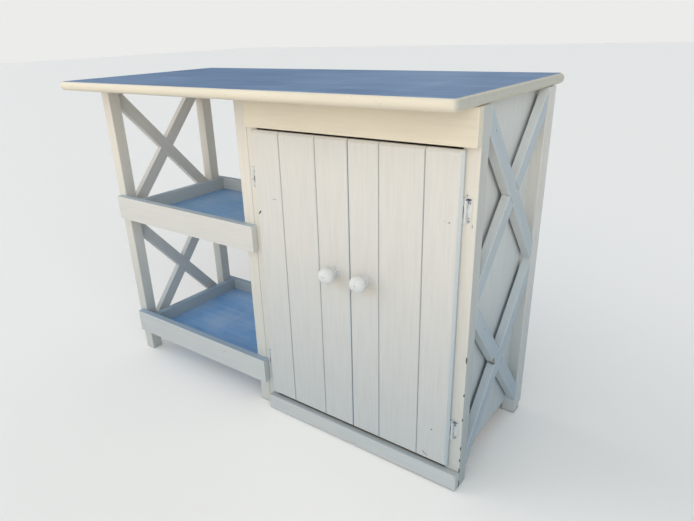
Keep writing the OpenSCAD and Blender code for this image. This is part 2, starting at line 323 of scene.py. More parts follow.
@dataclass(frozen=True)
class PaintedTimber(Finish):
    """Brushed, worn paint over softwood."""

    name: str
    grain: Grain
    paint: Tint = (0.665, 0.625, 0.570)
    shade: Tint = (0.560, 0.535, 0.495)
    # stains: tints of painted light and shade on the faces that look one way
    stains: tuple[FacingLightTint, ...] = ()
    grooves: tuple[float, ...] = ()
    slanted: bool = False
    arris_wear: float = 0.35
    arris_highlight: Tint = (0.80, 0.79, 0.76)
    groove: Tint = (0.25, 0.22, 0.185)
    groove_half_width: float = 0.0006
    marks: tuple[Mark, ...] = ()

    def arris(self, graph: Graph) -> Flow:
        """0 on the piece's flat faces and above 0 on its softened edges."""
        facing = graph.facing()
        if self.slanted:
            side = abs(graph.part(facing, "X"))
            return side * (1.0 - side) * 2.0
        x, y, z = (abs(graph.part(facing, axis)) for axis in "XYZ")
        return 1.0 - x.most(y).most(z)

    def look(self, graph: Graph) -> dict[str, Any]:
        """Paint with brush marks, painted highlights and worn chips on the edges, stained feet and the named marks.
        """
        where = graph.place()
        turn, stretch = self.grain.value
        turned = graph.node("ShaderNodeMapping", None, {0: where, 2: (math.radians(turn), 0.0, 0.0)})
        along = graph.node("ShaderNodeMapping", None, {0: turned, 3: stretch})
        brush = graph.noise(along, 1.6, 5.0, 0.62)
        broad = graph.noise(where, 4.0, 3.0)
        fine = graph.noise(where, 260.0, 2.0)
        colour = graph.blend(brush.step(0.35, 0.75) * 0.40 + broad.step(0.3, 0.75) * 0.3, self.paint, self.shade)
        edge = self.arris(graph).step(0.03, 0.2)
        # Painted highlight along the softened edges
        colour = graph.blend(edge * 0.28, colour, self.arris_highlight)
        chips = edge * graph.noise(where, 75.0, 4.0, 0.65).step(0.64, 0.70) * self.arris_wear
        # Darker and bluer towards the floor: painted shade with some soiling
        colour = self.shade_and_soil_towards_floor(graph, where, colour)
        # Painted light and shade on the faces that look each tint's way
        for stain in self.stains:
            colour = stain.over(graph, colour)
        for groove in self.grooves:
            line = 1.0 - abs(graph.part(where, "X") - groove).step(self.groove_half_width, 0.0019)
            colour = graph.blend(line * (0.35 + broad * 0.3), colour, self.groove)
        low = 1.0 - (graph.part(where, "Z") + (fine - 0.5) * 0.008 + (broad - 0.5) * 0.012).step(0.0005, 0.008)
        colour = graph.blend(low * 0.4, colour, Wear.DIRT.value)
        colour = graph.blend(chips, colour, Wear.WOOD.value)
        ragged = graph.noise(where, 330.0, 2.0)
        chipped = chips
        for mark in self.marks:
            mask = mark.mask(graph, where, ragged)
            colour = graph.blend(mask, colour, mark.wear.value)
            chipped = chipped.most(mask)
        relief = brush * 0.5 + fine * 0.25 - chipped * 1.2
        bump = graph.node("ShaderNodeBump", None, {"Strength": 0.35, "Distance": 0.0006, "Height": relief})
        rough = 0.52 + brush * 0.14 + chipped * 0.25
        return {"Base Color": colour, "Roughness": rough, "Normal": bump, "IOR": 1.45}


NAIL_PAINT = PaintedTimber("cream_nail_heads", Grain.UPRIGHT, paint=(0.62, 0.60, 0.55))


@dataclass(frozen=True)
class SlatePaint(Finish):
    """Slate paint, its blue partly a painted reflection of the sky, rubbed thin by use; cream on the worktop's round
    edge.
    """

    name: str
    haze: float = 0.0
    # slate and rubbed: grey paint with the sky's blue reflection partly painted in
    slate: Tint = (0.110, 0.198, 0.348)
    rubbed: Tint = (0.255, 0.375, 0.565)
    edge: Tint = (0.71, 0.63, 0.495)
    edge_shade: Tint = (0.56, 0.51, 0.42)
    edge_chips: Tint = (0.30, 0.27, 0.22)
    dust: Tint = (0.47, 0.54, 0.62)
    specks: Tint = (0.42, 0.46, 0.50)
    half: tuple[float, float] = (0.0, 0.0)
    corner: float = 0.015
    rim: float = 0.008
    top: float = 0.0

    def look(self, graph: Graph) -> dict[str, Any]:
        """Long brush streaks, rubbed patches and, where half is set, a painted edge."""
        where = graph.place()
        along = graph.node("ShaderNodeMapping", None, {0: where, 3: (3.0, 60.0, 60.0)})
        streak = graph.noise(along, 1.6, 5.0, 0.62)
        broad = graph.noise(where, 3.2, 3.0)
        across = graph.node("ShaderNodeMapping", None, {0: where, 3: (26.0, 4.0, 4.0)})
        cross = graph.noise(across, 1.0, 3.0)
        fine = graph.noise(where, 240.0, 2.0)
        worn = streak.step(0.36, 0.66) * 0.6 + broad.step(0.35, 0.70) * 0.3 + cross.step(0.5, 0.8) * 0.2
        colour = graph.blend(worn, self.slate, self.rubbed)
        dust = graph.noise(where, 7.0, 4.0, 0.6).step(0.35, 0.75)
        colour = graph.blend(dust * self.haze, colour, self.dust)
        specks = graph.noise(where, 95.0, 3.0, 0.6).step(0.70, 0.76)
        colour = graph.blend(specks * 0.30, colour, self.specks)
        rough = 0.34 + streak * 0.2 + specks * 0.2
        if self.half[0]:
            past = [(abs(graph.part(where, axis)) - (half - self.corner)).most(0.0)
                    for axis, half in zip("XY", self.half)]
            inner = self.corner - (past[0] * past[0] + past[1] * past[1]).root() + (fine - 0.5) * 0.0012
            flat = inner.step(self.rim - 0.001, self.rim + 0.001)
            flat = flat * graph.part(where, "Z").step(self.top - 0.006, self.top - 0.003)
            cream = graph.blend(streak.step(0.35, 0.7) * 0.3, self.edge, self.edge_shade)
            chips = graph.noise(where, 120.0, 3.0, 0.6).step(0.69, 0.73) * 0.5
            cream = graph.blend(chips, cream, self.edge_chips)
            # Painted shade on the +X faces of the cream round edge
            cream = RIGHT_FACES_PAINTED_SHADE.over(graph, cream)
            colour = graph.blend(flat, cream, colour)
            rough = rough + (1.0 - flat) * 0.12
        bump = graph.node("ShaderNodeBump", None,
                          {"Strength": 0.3, "Distance": 0.0005, "Height": streak * 0.6 + fine * 0.2})
        return {"Base Color": colour, "Roughness": rough, "Normal": bump, "IOR": 1.45}


@dataclass(frozen=True)
class BareTimber(Finish):
    """Planed softwood that was never painted."""

    name: str
    grain: Grain

    def look(self, graph: Graph) -> dict[str, Any]:
        """Growth rings drawn out along the grain."""
        where = graph.place()
        along = graph.node("ShaderNodeMapping", None, {0: where, 3: self.grain.value[1]})
        rings = graph.noise(along, 0.8, 4.0, 0.6)
        pores = graph.noise(along, 6.0, 3.0)
        colour = graph.blend(rings.step(0.35, 0.65), (0.56, 0.41, 0.25), (0.40, 0.27, 0.15))
        colour = graph.blend(pores.step(0.55, 0.8) * 0.4, colour, (0.24, 0.16, 0.09))
        bump = graph.node("ShaderNodeBump", None, {"Strength": 0.3, "Distance": 0.0005, "Height": rings})
        return {"Base Color": colour, "Roughness": 0.62 + pores * 0.15, "Normal": bump}


@dataclass(frozen=True)
class PaintedHinge(Finish):
    """Steel hinge painted over with the woodwork, chipped back to metal and rust."""

    name: str
    chipping: float = 0.66
    marks: tuple[Mark, ...] = ()

    def look(self, graph: Graph) -> dict[str, Any]:
        """Paint, bare metal in the chips and a little rust round them."""
        where = graph.place()
        coarse = graph.noise(where, 130.0, 4.0, 0.62)
        bare = coarse.step(self.chipping, self.chipping + 0.03)
        rim = coarse.step(self.chipping - 0.045, self.chipping) * (1.0 - bare)
        colour = graph.blend(rim * 0.35, (0.62, 0.62, 0.60), Wear.RUST.value)
        # Darker and bluer towards the floor: painted shade with some soiling
        colour = self.shade_and_soil_towards_floor(graph, where, colour)
        colour = graph.blend(bare, colour, Wear.STEEL.value)
        ragged = graph.noise(where, 520.0, 2.0)
        for mark in self.marks:
            mask = mark.mask(graph, where, ragged)
            colour = graph.blend(mask, colour, mark.wear.value)
            bare = bare.most(mask)
        relief = graph.node("ShaderNodeBump", None, {"Strength": 0.5, "Distance": 0.0003, "Height": 1.0 - bare})
        return {"Base Color": colour, "Roughness": 0.38 + bare * 0.15, "Metallic": bare * 0.3, "Normal": relief}


@dataclass(frozen=True)
class Plain(Finish):
    """One even colour with a slight unevenness in its gloss."""

    name: str
    colour: Tint
    metal: float = 0.0
    rough: float = 0.4

    def look(self, graph: Graph) -> dict[str, Any]:
        """An even surface."""
        haze = graph.noise(graph.place(), 60.0, 3.0)
        return {"Base Color": (*self.colour, 1.0), "Metallic": self.metal, "Roughness": self.rough + haze * 0.15}


# ---------------------------------------------------------------- helpers


def on_front(node: str, across: float, up: float) -> Point:
    """A place on a piece's front face.

    Args:
        node: The CAD node.
        across: Its distance from the face's left edge, or from the right edge where it is negative, in metres.
        up: Its height above the face's foot, in metres.

    Returns:
        The place, in the object's axes.
    """
    low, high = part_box(node)
    return ((high.x if across < 0 else low.x) + across, low.y, low.z + up)


def dress(finish: Finish, *names: str, soften: float = 0.0) -> None:
    """Gives CAD nodes a finish and, where asked, softened edges.

    Args:
        finish: The finish they get.
        names: The nodes.
        soften: Width of the rounding on their edges, in metres.
    """
    for name in names:
        piece = bpy.data.objects[name]
        piece.data.materials.clear()
        piece.data.materials.append(finish.material())
        if soften:
            weld = piece.modifiers.new("join", "WELD")
            weld.merge_threshold = 0.00002
            bevel = piece.modifiers.new("soften", "BEVEL")
            bevel.width = soften
            bevel.segments = 2
            bevel.limit_method = "ANGLE"
            bevel.angle_limit = math.radians(28)
            bevel.use_clamp_overlap = True


class Head(Enum):
    """Kind of fixing that is set in the surface."""

    SCREW = "screw"
    NAIL = "nail"


@dataclass(frozen=True)
class Fixing:
    """One screw or nail: where its head sits and which way it faces."""

    at: Point
    faces: Point


@dataclass
class Fixings:
    """All heads of one kind on one body, placed by a Geometry Nodes tree."""

    name: str
    body: str
    slot: str
    kind: Head
    finish: Finish
    places: list[Fixing]
    radius: float = 0.0026
    height: float = 0.0006

    def tree(self) -> bpy.types.NodeTree:
        """The tree that sets a head on each point, facing along the point's own direction."""
        made = bpy.data.node_groups.new("set_" + self.name, "GeometryNodeTree")
        face = made.interface
        face.new_socket("Places", in_out="INPUT", socket_type="NodeSocketGeometry")
        face.new_socket("Head Radius", in_out="INPUT", socket_type="NodeSocketFloat")
        face.new_socket("Head Height", in_out="INPUT", socket_type="NodeSocketFloat")
        face.new_socket("Finish", in_out="INPUT", socket_type="NodeSocketMaterial")
        face.new_socket("Heads", in_out="OUTPUT", socket_type="NodeSocketGeometry")
        graph = Graph(made)
        group = made.nodes.new("NodeGroupInput")
        given = {s.name: Flow(graph, s) for s in group.outputs if s.name}
        head = self._head(graph, given["Head Radius"], given["Head Height"])
        points = graph.node("GeometryNodeMeshToPoints", None, {"Mesh": given["Places"]})
        faces = graph.node("GeometryNodeInputNamedAttribute", {"data_type": "FLOAT_VECTOR"}, {"Name": "faces"})
        upright = graph.node("FunctionNodeAlignRotationToVector", {"axis": "Z"}, {"Vector": faces})
        chance = graph.node("FunctionNodeRandomValue", {"data_type": "FLOAT"}, {2: 0.0, 3: 3.1, "Seed": 7}, 1)
        spin = graph.node("FunctionNodeAxisAngleToRotation", None, {"Axis": (0.0, 0.0, 1.0), "Angle": chance})
        turned = graph.node("FunctionNodeRotateRotation", {"rotation_space": "LOCAL"},
                            {"Rotation": upright, "Rotate By": spin})
        set_on = graph.node("GeometryNodeInstanceOnPoints", None,
                            {"Points": points, "Instance": head, "Rotation": turned})
        whole = graph.node("GeometryNodeRealizeInstances", None, {0: set_on})
        painted = graph.node("GeometryNodeSetMaterial", None, {"Geometry": whole, "Material": given["Finish"]})
        out = made.nodes.new("NodeGroupOutput")
        made.links.new(painted.socket, out.inputs["Heads"])
        return made

    def _head(self, graph: Graph, radius: Flow, height: Flow) -> Flow:
        """One head, standing on the origin: a disc with its edge drawn in, slotted if it is a screw."""
        cone = graph.node("GeometryNodeMeshCone", {"fill_type": "NGON"},
                          {"Vertices": 18, "Radius Top": radius * 0.8, "Radius Bottom": radius, "Depth": height})
        if self.kind is Head.NAIL:
            return cone
        size = graph.node("ShaderNodeCombineXYZ", None, {0: radius * 3.0, 1: radius * 0.28, 2: height * 1.2})
        bar = graph.node("GeometryNodeMeshCube", None, {"Size": size})
        lift = graph.node("ShaderNodeCombineXYZ", None, {2: height})
        raised = graph.node("GeometryNodeTransform", None, {"Geometry": bar, "Translation": lift})
        return graph.node("GeometryNodeMeshBoolean", {"operation": "DIFFERENCE"}, {"Mesh 1": cone, "Mesh 2": raised})

    def build(self) -> bpy.types.Object:
        """Makes the heads and puts them on their body.

        Returns:
            The finished piece.
        """
        points = bpy.data.meshes.new(self.name + "_places")
        points.from_pydata([p.at for p in self.places], [], [])
        faces = points.attributes.new("faces", "FLOAT_VECTOR", "POINT")
        for i, place in enumerate(self.places):
            faces.data[i].vector = place.faces
        holder = bpy.data.objects.new(self.name + "_holder", points)
        bpy.context.scene.collection.objects.link(holder)
        modifier = holder.modifiers.new("set", "NODES")
        modifier.node_group = self.tree()
        values = {"Head Radius": self.radius, "Head Height": self.height, "Finish": self.finish.material()}
        for item in modifier.node_group.interface.items_tree:
            if item.name in values:
                modifier[item.identifier] = values[item.name]
        seen = holder.evaluated_get(bpy.context.evaluated_depsgraph_get())
        mesh = bpy.data.meshes.new_from_object(seen)
        holder.modifiers.clear()
        bpy.data.objects.remove(holder)
        piece = bpy.data.objects.new(self.name, mesh)
        bpy.context.scene.collection.objects.link(piece)
        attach(piece, self.body)
        log.info("%s: %d heads on %s", self.name, len(self.places), self.body)
        return piece


# ---------------------------------------------------------------- sub-assemblies


@dataclass
class Worktop:
    """The top board with its half-round edge, and the battens under it."""

    edge_radius: float = 0.012

    def build(self) -> None:
        """Paints the top and leaves the battens bare."""
        low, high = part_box("worktop")
        half = ((high.x - low.x) / 2, (high.y - low.y) / 2)
        dress(SlatePaint("slate_worktop", half=half, rim=self.edge_radius * 0.62, top=high.z), "worktop")
        dress(BareTimber("bare_battens", Grain.BACK), "worktop_battens", "left_end_rail", "cupboard_end_rails",
              soften=0.001)
        log.info("worktop dressed, %.0f x %.0f mm", 2000 * half[0], 2000 * half[1])


@dataclass
class Frame:
    """Posts, crossed braces, hinge stile and the rails under the top."""

    arris: float = 0.0018
    # warm and warm_shade: a warmer copy of the cream, partly painted warm light from under the worktop
    warm: Tint = (0.705, 0.645, 0.560)
    warm_shade: Tint = (0.595, 0.550, 0.480)
    # cool: a cooler copy of the cream for the right braces, painted cool sky light
    cool: Tint = (0.600, 0.622, 0.615)
    knocked: float = 0.8
    posts: tuple[str, ...] = ("left_front_leg", "left_back_leg", "cupboard_left_front_post",
                              "cupboard_left_back_post", "hinge_stile")

    def build(self) -> None:
        """Paints the frame and sets the nails of the braces."""
        # Uprights are painted in the warm-lit copy of the cream
        upright = PaintedTimber("cream_upright", Grain.UPRIGHT, self.warm, self.warm_shade)
        dress(upright, *self.posts, soften=self.arris)
        # The right front post's +X face gets the painted shade of the right end
        front = PaintedTimber("cream_right_front_post", Grain.UPRIGHT, self.warm, self.warm_shade,
                              marks=self.post_chips(), arris_wear=self.knocked, stains=(RIGHT_FACES_PAINTED_SHADE,))
        dress(front, "right_front_post", soften=self.arris)
        back = PaintedTimber("cream_right_back_post", Grain.UPRIGHT, marks=self.foot_chips(),
                             arris_wear=self.knocked)
        dress(back, "right_back_post", soften=self.arris)
        for side in ("left", "right"):
            for level in ("upper", "lower"):
                for way, grain in (("down", Grain.FALLING), ("up", Grain.RISING)):
                    marks = self.seams(side, level) + (self.brace_marks() if side == "right" else ())
                    # The right braces' +X faces get the painted shade of the right end
                    stains = (RIGHT_FACES_PAINTED_SHADE,) if side == "right" else ()
                    # Right braces take the painted cool-lit copy of the cream
                    paint = self.cool if side == "right" else PaintedTimber.paint
                    finish = PaintedTimber(f"cream_{side}_{level}_brace_{way}", grain, paint, slanted=True,
                                           marks=marks, stains=stains)
                    dress(finish, f"{side}_{level}_brace_{way}", soften=0.0015)
        dress(BareTimber("bare_rail", Grain.ALONG), "bay_back_rail", soften=0.001)
        self.brace_nails().build()

    @staticmethod
    def post_chips() -> tuple[Mark, ...]:
        """Knocks down the outer front edge of the right front post, and a knot higher up."""
        low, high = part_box("right_front_post")
        x, y = high.x, low.y
        knocks = ((0.350, 0.009), (0.260, 0.005), (0.195, 0.004), (0.115, 0.006), (0.080, 0.005), (0.050, 0.009))
        chips = [Mark((x, y, z), (0.003, 0.003, length)) for z, length in knocks]
        knot = (x - 0.022, y, 0.710)
        return (*chips,
                Mark((x - 0.002, y - 0.001, 0.010), (0.012, 0.006, 0.014), Wear.DIRT, strength=0.9),
                Mark(knot, (0.0045, 0.002, 0.0045), Wear.FILLER, strength=0.5),
                Mark(knot, (0.0012, 0.002, 0.0014), Wear.DIRT, strength=0.9),
                Mark((x - 0.008, y, 0.650), (0.0015, 0.002, 0.0050), Wear.SCUFF, strength=0.6))

    @staticmethod
    def foot_chips() -> tuple[Mark, ...]:
        """Dark, broken edges at the foot of the right back post."""
        low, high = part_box("right_back_post")
        return (Mark((high.x, high.y - 0.008, 0.002), (0.005, 0.012, 0.006), Wear.DIRT, strength=0.9),
                Mark((high.x, high.y, 0.018), (0.004, 0.004, 0.008), Wear.WOOD),
                Mark((high.x, low.y + 0.008, 0.002), (0.005, 0.007, 0.004), Wear.DIRT, strength=0.7))

    @staticmethod
    def seams(side: str, level: str) -> tuple[Mark, ...]:
        """Lines in the paint where one brace is let into the other."""
        low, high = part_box(f"{side}_{level}_brace_up")
        x = high.x if side == "right" else low.x
        y, z = (low.y + high.y) / 2, (low.z + high.z) / 2
        rising_on_top = (side, level) == ("right", "lower")
        # A mark is turned itself, where a grain turns its coordinates, so each slope has the other's sign
        slope = (Grain.FALLING if rising_on_top else Grain.RISING).value[0]
        lean = math.radians(slope)
        half_width, half_length = 0.018, 0.020
        return tuple(Mark((x, y - way * half_width * math.sin(lean), z + way * half_width * math.cos(lean)),
                          (0.004, half_length, 0.0011), Wear.DIRT, (slope, 0.0, 0.0), 0.45)
                     for way in (-1.0, 1.0))

    @staticmethod
    def brace_marks() -> tuple[Mark, ...]:
        """Nail stains on the right crosses, and bare wood where the lower falling brace meets the rising one."""
        low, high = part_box("right_lower_brace_up")
        x, y, z = high.x, (low.y + high.y) / 2, (low.z + high.z) / 2
        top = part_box("right_upper_brace_up")[1].z
        # Down a falling brace, with the sign of a mark's own turn
        fall = (Grain.RISING.value[0], 0.0, 0.0)
        return (
            Mark((x, y - 0.034, z + 0.016), (0.004, 0.012, 0.005), Wear.SCUFF, fall, 0.8),
            Mark((x - 0.008, y - 0.026, z + 0.003), (0.010, 0.009, 0.005), Wear.WOOD, fall, 0.7),
            Mark((x, low.y + 0.027, top - 0.052), (0.002, 0.002, 0.002), Wear.DIRT, strength=0.8),
            Mark((x, low.y + 0.053, high.z - 0.080), (0.002, 0.002, 0.0025), Wear.SCUFF),
            Mark((x, low.y + 0.063, low.z + 0.126), (0.002, 0.002, 0.002), Wear.DIRT, strength=0.6),
        )

    @staticmethod
    def brace_nails() -> Fixings:
        """Painted nail heads where the braces cross and meet the posts."""
        low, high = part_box("right_lower_brace_up")
        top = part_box("right_upper_brace_up")[1]
        middle = (low.y + high.y) / 2
        places = []
        for side, facing in (("left", -1.0), ("right", 1.0)):
            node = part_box(f"{side}_front_leg" if side == "left" else "right_front_post")
            x = node[0].x if side == "left" else node[1].x
            for foot, head in ((low.z, high.z), (high.z, top.z)):
                centre = (foot + head) / 2
                places.append(Fixing((x, middle + 0.004, centre + 0.005), (facing, 0.0, 0.0)))
                for y, z in ((low.y + 0.02, foot + 0.052), (low.y + 0.02, head - 0.052),
                             (high.y - 0.02, foot + 0.052), (high.y - 0.02, head - 0.052)):
                    places.append(Fixing((x, y, z), (facing, 0.0, 0.0)))
        return Fixings("brace_nails", "frame", "steel", Head.NAIL, NAIL_PAINT, places, 0.0018, 0.0003)


@dataclass
class Tray:
    """One tray shelf of the open bay."""

    level: str
    arris: float = 0.0022

    def build(self) -> None:
        """Paints the floor slate and the boards round it cream."""
        # The trays' slate is bluer than the worktop's, partly a painted reflection of the sky
        dress(SlatePaint("slate_trays", 0.38, (0.130, 0.300, 0.560), (0.215, 0.410, 0.690)),
              f"{self.level}_tray_floor")
        # The front board's top edge gets the painted cool light from above
        dress(PaintedTimber(f"cream_{self.level}_tray_front", Grain.ALONG, marks=self.marks(), stains=(UP_FACES_PAINTED_SKY_LIGHT,)),
              f"{self.level}_tray_front", soften=self.arris)
        # Painted light on the back and side boards: cool light on the top edges, bounce light on the inside faces
        painted_light_tints = (UP_FACES_PAINTED_SKY_LIGHT, FacingLightTint((0.0, -1.0, 0.0), INSIDE_PAINTED_BOUNCE_LIGHT))
        dress(PaintedTimber("cream_tray_back", Grain.ALONG, stains=painted_light_tints), f"{self.level}_tray_back",
              soften=self.arris)
        painted_light_tints = (UP_FACES_PAINTED_SKY_LIGHT, FacingLightTint((1.0, 0.0, 0.0), INSIDE_PAINTED_BOUNCE_LIGHT))
        dress(PaintedTimber("cream_tray_side", Grain.BACK, stains=painted_light_tints), f"{self.level}_tray_side",
              soften=self.arris)
        dress(BareTimber("bare_bearers", Grain.BACK), f"{self.level}_tray_bearers", soften=0.001)
        self.nails().build()

    def marks(self) -> tuple[Mark, ...]:
        """Scratches and dents in the lower tray's front board."""
        if self.level == "upper":
            return ()
        front = "lower_tray_front"
        return (
            Mark(on_front(front, 0.105, 0.064), (0.002, 0.002, 0.002), Wear.DIRT),
            Mark(on_front(front, 0.420, 0.050), (0.003, 0.002, 0.0015), Wear.SCUFF),
            Mark(on_front(front, 0.510, 0.066), (0.008, 0.002, 0.0010), Wear.SCUFF, (0.0, 12.0, 0.0), 0.8),
            Mark(on_front(front, 0.002, 0.003), (0.003, 0.003, 0.003), Wear.DIRT),
        )

    def nails(self) -> Fixings:
        """Filled nails through the front board into the posts behind it."""
        low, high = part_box(f"{self.level}_tray_front")
        places = []
        for node in ("left_front_leg", "cupboard_left_front_post"):
            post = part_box(node)
            x = max((post[0].x + post[1].x) / 2, low.x + 0.009)
            for share in (0.24, 0.76):
                places.append(Fixing((x, low.y, low.z + share * (high.z - low.z)), (0.0, -1.0, 0.0)))
        return Fixings(f"{self.level}_tray_nails", "frame", "steel", Head.NAIL, NAIL_PAINT, places, 0.0016, 0.0002)


@dataclass
class Cupboard:
    """The closed half of the bench: panels, boards above and below the doors, shelf and catches."""

    nail_gap: float = 0.11

    def build(self) -> None:
        """Paints the outside, leaves the inside bare and nails the back on."""
        # The fascia's warmer paint is painted warm light, bounced up under the worktop's overhang
        dress(PaintedTimber("cream_fascia", Grain.ALONG, paint=(0.75, 0.66, 0.52), shade=(0.64, 0.57, 0.45),
                            arris_wear=0.2), "fascia", soften=0.003)
        scuffs = (Mark(on_front("plinth", -0.003, 0.042), (0.002, 0.002, 0.002), Wear.SCUFF, strength=0.5),
                  Mark(on_front("plinth", 0.300, 0.009), (0.012, 0.003, 0.003), Wear.SCUFF, strength=0.25))
        dress(PaintedTimber("cream_plinth", Grain.ALONG, marks=scuffs), "plinth", soften=0.003)
        low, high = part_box("cupboard_right_panel")
        dents = (Mark((high.x, low.y + 0.155, low.z + 0.205), (0.003, 0.009, 0.004), Wear.SCUFF, strength=0.7),
                 Mark((high.x, low.y + 0.105, low.z + 0.320), (0.003, 0.0025, 0.003), Wear.DIRT))
        dress(PaintedTimber("cream_panel", Grain.UPRIGHT, paint=(0.635, 0.645, 0.62), marks=dents),
              "cupboard_left_panel", "cupboard_right_panel", "cupboard_back", soften=0.001)
        inside = BareTimber("bare_inside", Grain.ALONG)
        dress(inside, "cupboard_floor", "cupboard_floor_bearers", "cupboard_shelf", soften=0.0008)
        dress(BareTimber("bare_cleats", Grain.BACK), "cupboard_shelf_cleats", soften=0.0008)
        dress(Plain("catch_plastic", (0.72, 0.72, 0.70), rough=0.35), "door_catches", soften=0.0015)
        dress(Plain("strike_steel", (0.55, 0.55, 0.54), metal=1.0, rough=0.3),
              "left_door_strike", "right_door_strike")
        self.back_nails().build()
        self.board_nails().build()

    def back_nails(self) -> Fixings:
        """A row of nails down each side of the back panel and along its top."""
        low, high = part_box("cupboard_back")
        places = []
        rows = int((high.z - low.z - 0.04) / self.nail_gap)
        for i in range(rows + 1):
            z = low.z + 0.02 + i * (high.z - low.z - 0.04) / rows
            for x in (low.x + 0.009, high.x - 0.018):
                places.append(Fixing((x, high.y, z), (0.0, 1.0, 0.0)))
        columns = int((high.x - low.x - 0.1) / self.nail_gap)
        for i in range(1, columns):
            x = low.x + 0.02 + i * (high.x - low.x - 0.04) / columns
            places.append(Fixing((x, high.y, high.z - 0.012), (0.0, 1.0, 0.0)))
        steel = Plain("dull_steel", (0.35, 0.34, 0.33), metal=0.8, rough=0.5)
        return Fixings("back_nails", "frame", "steel", Head.NAIL, steel, places, 0.0022, 0.0003)

    @staticmethod
    def board_nails() -> Fixings:
        """Filled nails at the ends of the boards above and below the doors."""
        places = []
        for node in ("fascia", "plinth"):
            low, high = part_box(node)
            for x in (low.x + 0.014, high.x - 0.018):
                for share in (0.27, 0.73):
                    places.append(Fixing((x, low.y, low.z + share * (high.z - low.z)), (0.0, -1.0, 0.0)))
        return Fixings("board_nails", "frame", "steel", Head.NAIL, NAIL_PAINT, places, 0.0015, 0.0002)


class Side(Enum):
    """Which door of the pair it is, with the direction from its hinges to its knob."""

    LEFT = ("left", 1.0)
    RIGHT = ("right", -1.0)


